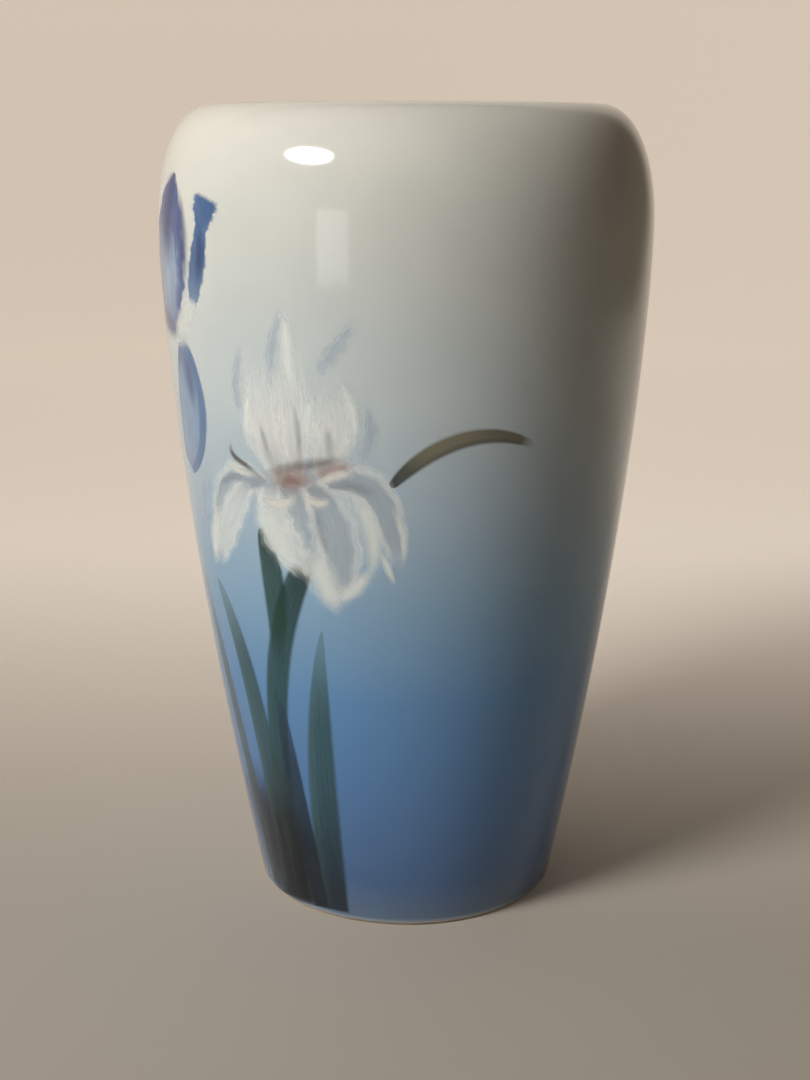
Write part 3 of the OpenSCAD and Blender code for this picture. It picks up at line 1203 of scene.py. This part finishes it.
    def heart(self) -> list[Stroke]:
        """The throat, its ruffles and its dark curl."""
        blush = Wash(name="blush_wash", colour=srgb(172, 148, 138), opacity=0.8, softness=1.0)
        rust = Wash(name="rust_wash", colour=srgb(148, 108, 98), opacity=0.55, softness=1.0)
        brown = Wash(name="brown_wash", colour=srgb(116, 106, 102), opacity=0.7, softness=1.0)
        umber = Wash(name="umber_wash", colour=srgb(96, 90, 88), opacity=0.85, softness=0.8)
        ruffle = Wash(name="ruffle_wash", colour=srgb(240, 238, 226), opacity=0.9, softness=1.0)
        return [
            Stroke("throat_shade", finish=brown, half=3.6, layer=11, cells=(48, 12),
                   path=((-38, 186), (-30, 192), (-20, 194), (-11, 198)), **WHITE_HEART),
            Stroke("throat_blush", finish=blush, half=8, layer=13, cells=(48, 16),
                   path=((-36.5, 182), (-30, 188), (-25, 189), (-19, 187)), **WHITE_HEART),
            Stroke("throat_blush_right", finish=blush, half=3.6, layer=12, cells=(48, 12),
                   path=((-24, 188), (-19, 191), (-15, 194), (-10.5, 195)), **WHITE_HEART),
            Stroke("throat_rust", finish=rust, half=3, layer=14, cells=(36, 12),
                   path=((-32, 183), (-29, 188), (-26, 189), (-23, 185)), **WHITE_HEART),
            Stroke("throat_curl", finish=umber, half=1.5, blunt=0.5, layer=12, cells=(48, 10),
                   path=((-43.5, 200), (-46.5, 193), (-42, 192), (-34.5, 188)), **WHITE_HEART),
            Stroke("ruffle_low_left", finish=ruffle, half=3.4, layer=15, cells=(48, 12),
                   path=((-38, 183), (-34.5, 175), (-28.5, 176), (-25, 184)), **FRILLED,
                   **WHITE_HEART),
            Stroke("ruffle_low_right", finish=ruffle, half=3, layer=15, cells=(48, 12),
                   path=((-26, 184), (-23, 180), (-19.5, 177), (-17, 183)), **FRILLED,
                   **WHITE_HEART),
            Stroke("ruffle_right", finish=ruffle, half=2.6, layer=14, cells=(48, 12),
                   path=((-22.5, 185.5), (-18, 188), (-15, 193), (-10.5, 191)), **FRILLED,
                   **WHITE_HEART),
            Stroke("ruffle_left", finish=ruffle, half=2, layer=13, cells=(48, 12),
                   path=((-48, 193), (-44.5, 187.5), (-41, 188), (-36, 187)), **FRILLED,
                   **WHITE_HEART),
        ]


@dataclass
class BlueIris:
    """The blue iris that goes round the vase's left side."""

    brush: Brush
    standard: PetalPaint = PetalPaint(
        name="blue_standard_paint",
        base=srgb(96, 116, 150),
        body=srgb(152, 176, 200),
        edge=srgb(50, 78, 140),
        shade=srgb(100, 128, 170),
        tip_reach=0.4,
        opacity=0.94,
        edge_opacity=0.96,
        rim=0.7,
        feather=0.12,
        streak=0.55,
        tip_feather=0.05,
        seed=21.0,
    )
    deep: PetalPaint = PetalPaint(
        name="deep_blue_paint",
        base=srgb(110, 138, 174),
        body=srgb(40, 84, 134),
        edge=srgb(58, 102, 146),
        shade=srgb(72, 112, 154),
        opacity=0.96,
        edge_opacity=0.92,
        feather=0.3,
        streak=0.4,
        base_reach=0.6,
        seed=24.0,
    )
    fall: PetalPaint = PetalPaint(
        name="blue_fall_paint",
        base=srgb(84, 108, 154),
        body=srgb(138, 164, 192),
        edge=srgb(92, 122, 162),
        shade=srgb(108, 136, 174),
        opacity=0.94,
        edge_opacity=0.96,
        rim=0.5,
        lean=-0.3,
        feather=0.12,
        streak=0.5,
        tip_feather=0.06,
        seed=27.0,
    )

    def build(self) -> None:
        """Paints the whole flower."""
        for stroke in (*self.standards(), *self.falls(), *self.heart()):
            self.brush.paint(stroke)

    def standards(self) -> list[Stroke]:
        """The upright petals."""
        dusk = Wash(name="indigo_wash", colour=srgb(52, 74, 124), opacity=0.85, softness=0.9)
        tip = Wash(name="indigo_tip_wash", colour=srgb(36, 58, 116), opacity=0.95, softness=0.9,
                   foot_feather=0.02)
        return [
            Stroke("blue_standard_left", finish=self.standard, half=15, blunt=0.6, layer=6,
                   path=((-80, 236), (-91, 252), (-92, 270), (-86, 292)), **FRILLED, **BLUE),
            Stroke("blue_standard_right", finish=self.deep, half=6, blunt=0.5, layer=6,
                   path=((-54, 246), (-54, 258), (-48.5, 266), (-50, 281)), **FRILLED, **BLUE),
            Stroke("blue_flag", finish=self.deep, half=8.5, peak=1.4, blunt=0.9, span=0.72,
                   path=((-49.5, 268), (-49, 276), (-48.5, 282), (-47.5, 288)), layer=7,
                   **FRILLED, **BLUE),
            Stroke("blue_standard_front", finish=self.standard, half=18, peak=0.9, blunt=0.65,
                   path=((-69, 230), (-69, 254), (-66, 276), (-63, 294)), layer=8, **FRILLED,
                   **BLUE),
            Stroke("blue_tip_front", finish=tip, half=14, layer=9, cells=(48, 16), blunt=0.6,
                   path=((-69, 254), (-68, 272), (-65.5, 284), (-63, 295)), **BLUE),
            Stroke("blue_rim_front", finish=dusk, half=5, layer=10, cells=(48, 12),
                   path=((-61, 244), (-55.5, 262), (-56, 280), (-61, 292)), **BLUE),
            Stroke("blue_dark_right", finish=dusk, half=3.4, layer=9, cells=(48, 12),
                   path=((-52, 252), (-50.5, 262), (-49, 270), (-49.5, 280)), **BLUE),
        ]

    def falls(self) -> list[Stroke]:
        """The hanging petals."""
        shade = Wash(name="slate_wash", colour=srgb(74, 102, 146), opacity=0.8, softness=1.0)
        return [
            Stroke("blue_fall_left", finish=self.fall, half=13, blunt=0.6, layer=6,
                   path=((-82, 236), (-96, 226), (-102, 206), (-97, 182)), **FRILLED, **BLUE_FALL),
            Stroke("blue_fall_right", finish=self.fall, half=14, peak=1.2, blunt=0.5, layer=7,
                   path=((-62, 236), (-60, 218), (-59, 200), (-68.5, 182)), **BLUE_FALL),
            Stroke("blue_shade_right", finish=shade, half=8, layer=8, cells=(48, 12),
                   path=((-62, 236), (-60, 226), (-59, 218), (-59, 206)), **BLUE_FALL),
        ]

    def heart(self) -> list[Stroke]:
        """The pale heart."""
        cream = Wash(name="cream_wash", colour=srgb(226, 230, 222), opacity=0.9, softness=0.8)
        shadow = Wash(name="violet_wash", colour=srgb(88, 96, 140), opacity=0.85, softness=0.9)
        return [
            Stroke("blue_heart_shadow", finish=shadow, half=7, layer=11, cells=(48, 12),
                   path=((-86, 234), (-76, 241), (-69, 241), (-62, 233)), **BLUE_HEART),
            Stroke("blue_heart", finish=cream, half=5.5, layer=12, cells=(64, 16),
                   path=((-67, 232), (-62, 238), (-58, 246), (-52, 250)), **FRILLED,
                   **BLUE_HEART),
            Stroke("blue_heart_left", finish=cream, half=4, layer=13, cells=(64, 16),
                   path=((-94, 240), (-88, 236), (-82, 233), (-76, 236)), **FRILLED,
                   **BLUE_HEART),
        ]


@dataclass
class Foliage:
    """Stems, sheath, upright leaves and the bent leaf."""

    brush: Brush
    green: LeafPaint = LeafPaint(
        name="green_leaf_paint",
        tip=srgb(92, 126, 128),
        body=srgb(52, 88, 88),
        foot=srgb(10, 24, 26),
        lit=srgb(84, 122, 120),
        seed=41.0,
    )
    far: LeafPaint = LeafPaint(
        name="far_leaf_paint",
        tip=srgb(108, 142, 156),
        body=srgb(62, 96, 102),
        foot=srgb(26, 44, 52),
        lit=srgb(84, 116, 122),
        opacity=0.85,
        tip_opacity=0.35,
        feather=0.5,
        seed=44.0,
    )
    dark: LeafPaint = LeafPaint(
        name="dark_stem_paint",
        tip=srgb(6, 42, 34),
        body=srgb(38, 78, 76),
        foot=srgb(10, 22, 26),
        lit=srgb(66, 102, 102),
        tip_opacity=0.95,
        opacity=0.95,
        seed=47.0,
    )
    olive: LeafPaint = LeafPaint(
        name="olive_leaf_paint",
        tip=srgb(18, 32, 28),
        body=srgb(124, 116, 88),
        foot=srgb(104, 96, 74),
        lit=srgb(62, 64, 48),
        tip_opacity=0.95,
        opacity=0.95,
        rib=0.2,
        lit_share=0.75,
        feather=0.45,
        foot_feather=0.12,
        seed=51.0,
    )
    calyx: LeafPaint = LeafPaint(
        name="calyx_paint",
        tip=srgb(6, 50, 32),
        body=srgb(20, 64, 50),
        foot=srgb(44, 78, 76),
        lit=srgb(52, 92, 84),
        tip_opacity=0.95,
        opacity=0.92,
        foot_feather=0.3,
        seed=54.0,
    )
    navy: LeafPaint = LeafPaint(
        name="navy_leaf_paint",
        tip=srgb(36, 66, 88),
        body=srgb(28, 50, 66),
        foot=srgb(16, 26, 34),
        lit=srgb(40, 66, 76),
        tip_opacity=0.7,
        seed=57.0,
    )

    def build(self) -> None:
        """Paints the washes and leaves, then the stems."""
        for stroke in (*self.washes(), *self.leaves(), *self.stems()):
            self.brush.paint(stroke)

    def washes(self) -> list[Stroke]:
        """Soft dark colour round the feet of the leaves, down to the foot of the vase."""
        dusk = Wash(name="dusk_wash", colour=srgb(14, 24, 42), opacity=0.9, seed=61.0,
                    foot_feather=0.02)
        night = Wash(name="night_wash", colour=srgb(8, 18, 28), opacity=0.6, seed=63.0,
                     foot_feather=0.02)
        return [
            Stroke("foot_wash", finish=dusk, half=28, peak=0.6, blunt=0.5, span=0.7, layer=0,
                   path=((-58, 66), (-54, 46), (-50, 24), (-47, 2)), **LEAF),
            Stroke("foot_dusk", finish=night, half=22, peak=0.6, blunt=0.5, span=0.7, layer=6,
                   path=((-46, 54), (-44, 38), (-42, 20), (-40, 2)), **LEAF),
        ]

    def leaves(self) -> list[Stroke]:
        """The upright leaves and the bent one."""
        return [
            Stroke("leaf_far", finish=self.far, half=6, peak=0.8, span=0.76, layer=1,
                   path=((-104, 172), (-96, 130), (-84, 70), (-84, 3)), **LEAF),
            Stroke("leaf_back", finish=self.far, half=5.5, peak=0.8, span=0.74, layer=2,
                   path=((-118, 118), (-108, 90), (-96, 40), (-94, 3)), **LEAF),
            Stroke("leaf_edge", finish=self.far, half=5.5, peak=0.8, span=0.72, layer=3,
                   path=((-71, 142), (-65, 112), (-61, 60), (-59, 3)), **LEAF),
            Stroke("leaf_left", finish=self.green, half=6.5, peak=0.8, span=0.72, layer=2,
                   path=((-59, 140), (-50, 118), (-45, 70), (-49, 3)), **LEAF),
            Stroke("leaf_right", finish=self.green, half=7.4, peak=1.0, blunt=0.85, span=0.7,
                   path=((-22, 129), (-25, 100), (-28, 50), (-26.5, 3)), layer=2, **LEAF),
            Stroke("leaf_centre", finish=self.navy, half=5, peak=0.8, span=0.7, layer=5,
                   path=((-38, 96), (-37.5, 70), (-36, 34), (-33, 3)), **LEAF),
            Stroke("leaf_bent", node="bent_leaf", slot="bent_leaf_paint", finish=self.olive,
                   half=3.7, peak=0.8, blunt=0.45, cells=(96, 16), layer=1,
                   path=((-3.5, 187), (4, 201), (16, 212), (30.5, 199.5))),
        ]

    def stems(self) -> list[Stroke]:
        """The two stems and the sheath of the white iris."""
        return [
            Stroke("stem_blue", finish=self.dark, half=4, peak=0.6, blunt=0.3, span=0.8, layer=3,
                   path=((-82, 232), (-100, 190), (-92, 90), (-76, 3)), **STEM),
            Stroke("stem_white", finish=self.dark, half=6.4, peak=0.6, blunt=0.35, span=0.8,
                   path=((-23.5, 160), (-38, 122), (-45, 80), (-41, 3)), layer=3, **STEM),
            Stroke("sheath", finish=self.calyx, half=6, peak=0.8, layer=4,
                   path=((-37.5, 167), (-34, 150), (-34.5, 134), (-37.5, 104)), **STEM),
        ]


@dataclass
class Clay:
    """The fired clay under the glaze, which stays as it was packed."""

    nodes: tuple[str, ...] = (
        "foot_ring",
        "base_disc",
        "lower_body",
        "upper_body",
        "shoulder",
        "mouth_lip",
    )

    def build(self) -> None:
        """Gives each clay section its dry finish."""
        for node in self.nodes:
            piece = bpy.data.objects[node]
            piece.data.materials.clear()
            piece.data.materials.append(Biscuit(f"biscuit_{node}").material())
            LOG.info("%s: bare porcelain", node)


# --- The studio ----------------------------------------------------------------------------------


class LampShape(Enum):
    """Outline of a lamp's face."""

    RECTANGLE = "RECTANGLE"
    ELLIPSE = "ELLIPSE"


@dataclass(frozen=True)
class Lamp:
    """A soft lamp, aimed at the vase from a direction round and above it.

    `azimuth`, `elevation` and `spread` are in degrees, `distance` and `size` in metres and `power`
    in watts.
    """

    name: str
    azimuth: float
    elevation: float
    distance: float
    size: tuple[float, float]
    power: float
    aim: tuple[float, float, float] = (0.0, 0.0, 0.27)
    spread: float = 180.0
    shape: LampShape = LampShape.RECTANGLE

    def hang(self) -> None:
        """Adds the lamp to the scene."""
        turn, rise = math.radians(self.azimuth), math.radians(self.elevation)
        way = Vector(
            (math.sin(turn) * math.cos(rise), -math.cos(turn) * math.cos(rise), math.sin(rise))
        )
        light = bpy.data.lights.new(self.name, "AREA")
        light.shape = self.shape.value
        light.size, light.size_y = self.size
        light.energy = self.power
        light.spread = math.radians(self.spread)
        holder = bpy.data.objects.new(self.name, light)
        holder.location = Vector(self.aim) + way * self.distance
        holder.rotation_euler = (-way).to_track_quat("-Z", "Y").to_euler()
        bpy.context.collection.objects.link(holder)


@dataclass
class Studio:
    """A pale floor that curves up into a wall all round, soft lamps and the camera.

    Sizes are in metres, the camera's pitch is degrees below the level, and its lens and sensor are
    in millimetres.
    """

    floor_r: float = 1.7
    cove_r: float = 0.7
    wall_h: float = 2.6
    bend_steps: int = 16
    round_steps: int = 96
    sky: Colour = srgb(200, 186, 168)
    sky_strength: float = 0.03
    camera_at: tuple[float, float, float] = (-0.0005, -0.655, 0.3126)
    pitch: float = 14.42
    lens: float = 54.07
    sensor: float = 36.0
    nearest: float = 0.01
    lamps: tuple[Lamp, ...] = (
        Lamp("key", -48, 33, 1.3, (0.48, 0.24), 2.6, spread=75, shape=LampShape.ELLIPSE),
        Lamp("door", -31, -1, 1.0, (0.24, 0.30), 0.45),
        Lamp("fill", -6, 44, 1.6, (1.2, 1.0), 1.0),
    )

    def build(self) -> None:
        """Makes the stage, the lamps, the world and the camera."""
        self.stage()
        for lamp in self.lamps:
            lamp.hang()
        self.world()
        self.camera()

    def stage(self) -> None:
        """The floor and its curved wall."""
        bend = arc((self.floor_r, self.cove_r), self.cove_r, 270, 360, self.bend_steps)
        outline = [(0.0, 0.0), *bend, (self.floor_r + self.cove_r, self.wall_h)]
        piece = spun("stage", outline, self.round_steps, False)
        bpy.ops.object.mode_set(mode="EDIT")
        bpy.ops.mesh.select_all(action="SELECT")
        bpy.ops.mesh.normals_make_consistent(inside=True)
        bpy.ops.object.mode_set(mode="OBJECT")
        piece.data.materials.append(StagePaint().material())

    def world(self) -> None:
        """Dim, even light from above the stage."""
        world = bpy.data.worlds.new("studio")
        world.use_nodes = True
        background = world.node_tree.nodes["Background"]
        background.inputs["Color"].default_value = (*self.sky, 1.0)
        background.inputs["Strength"].default_value = self.sky_strength
        bpy.context.scene.world = world

    def camera(self) -> None:
        """The camera, level with the vase's top and tipped down."""
        data = bpy.data.cameras.new("camera")
        data.lens = self.lens
        data.sensor_width = self.sensor
        data.clip_start = self.nearest
        holder = bpy.data.objects.new("camera", data)
        holder.location = self.camera_at
        holder.rotation_euler = (math.radians(90 - self.pitch), 0.0, 0.0)
        bpy.context.collection.objects.link(holder)
        bpy.context.scene.camera = holder


def main() -> None:
    """Builds every sub-assembly in order and notes the model's size."""
    logging.basicConfig(level=logging.INFO, format="%(name)s: %(message)s")
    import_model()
    profile = Profile.from_frame()
    brush = Brush(profile)
    builders: tuple[Callable[[], None], ...] = (
        Studio().build,
        Clay().build,
        Coats(profile).build,
        Foliage(brush).build,
        BlueIris(brush).build,
        WhiteIris(brush).build,
    )
    for build in builders:
        build()
    bpy.context.scene.view_settings.view_transform = "Standard"


if __name__ == "__main__":
    main()
